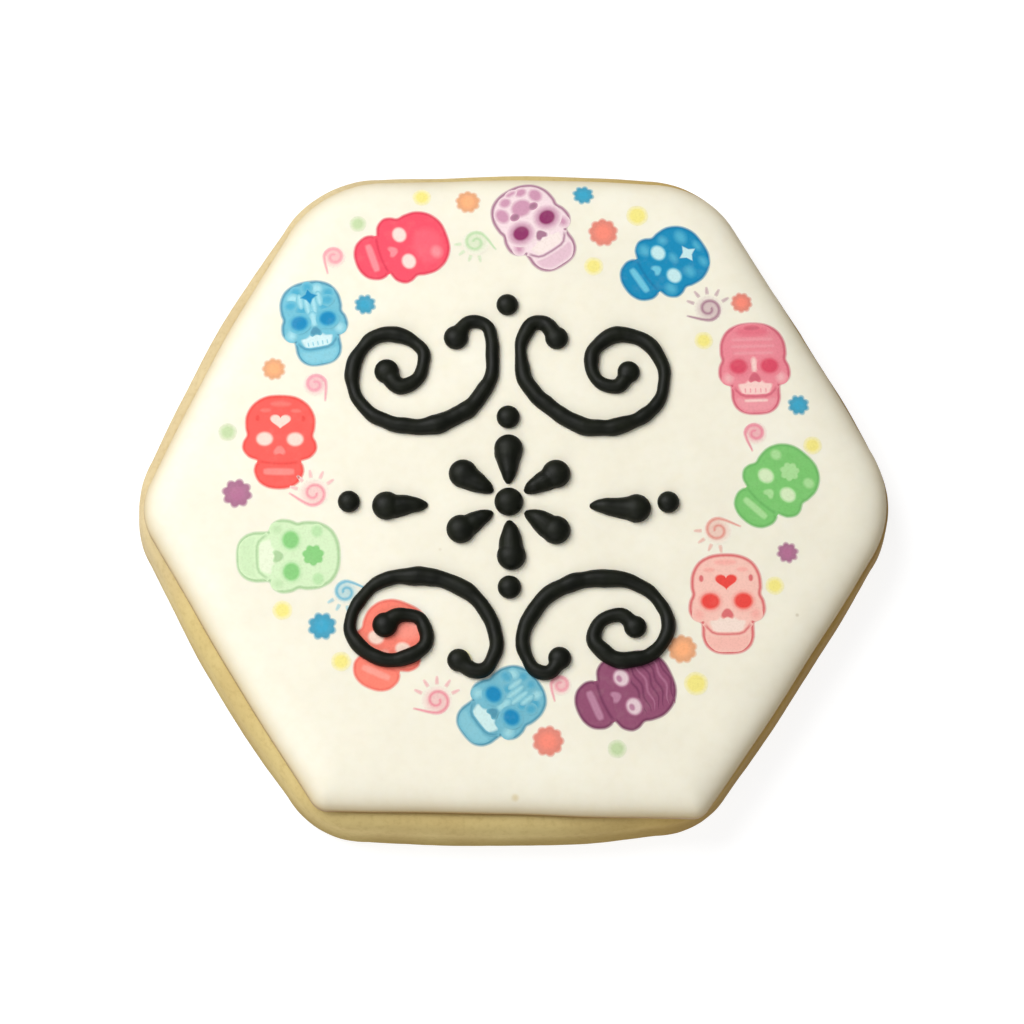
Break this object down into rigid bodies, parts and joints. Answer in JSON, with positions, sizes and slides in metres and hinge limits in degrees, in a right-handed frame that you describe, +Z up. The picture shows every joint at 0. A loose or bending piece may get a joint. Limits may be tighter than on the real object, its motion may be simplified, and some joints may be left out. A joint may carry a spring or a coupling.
{
  "type": "iced hexagonal biscuit",
  "caption": "Hexagonal rolled biscuit with a smooth white icing top, a ring of printed festive skulls and flowers, and raised black piped scrollwork.",
  "frame": {"origin": "middle of the bounding box on the biscuit's flat underside", "axes": "+Z up through the iced side, +X towards the right-hand corner of the hexagon, +Y towards its top side"},
  "size_m": [0.0889, 0.0818, 0.0118],
  "materials": {
    "biscuit": "matt baked crumb",
    "white_icing": "dried sugar icing, satin",
    "black_icing": "dried sugar icing, matt",
    "edible_ink": "food colour printed on the icing"
  },
  "bodies": {
    "root": {"biscuit": "biscuit", "icing": "white_icing"}
  },
  "joints": []
}
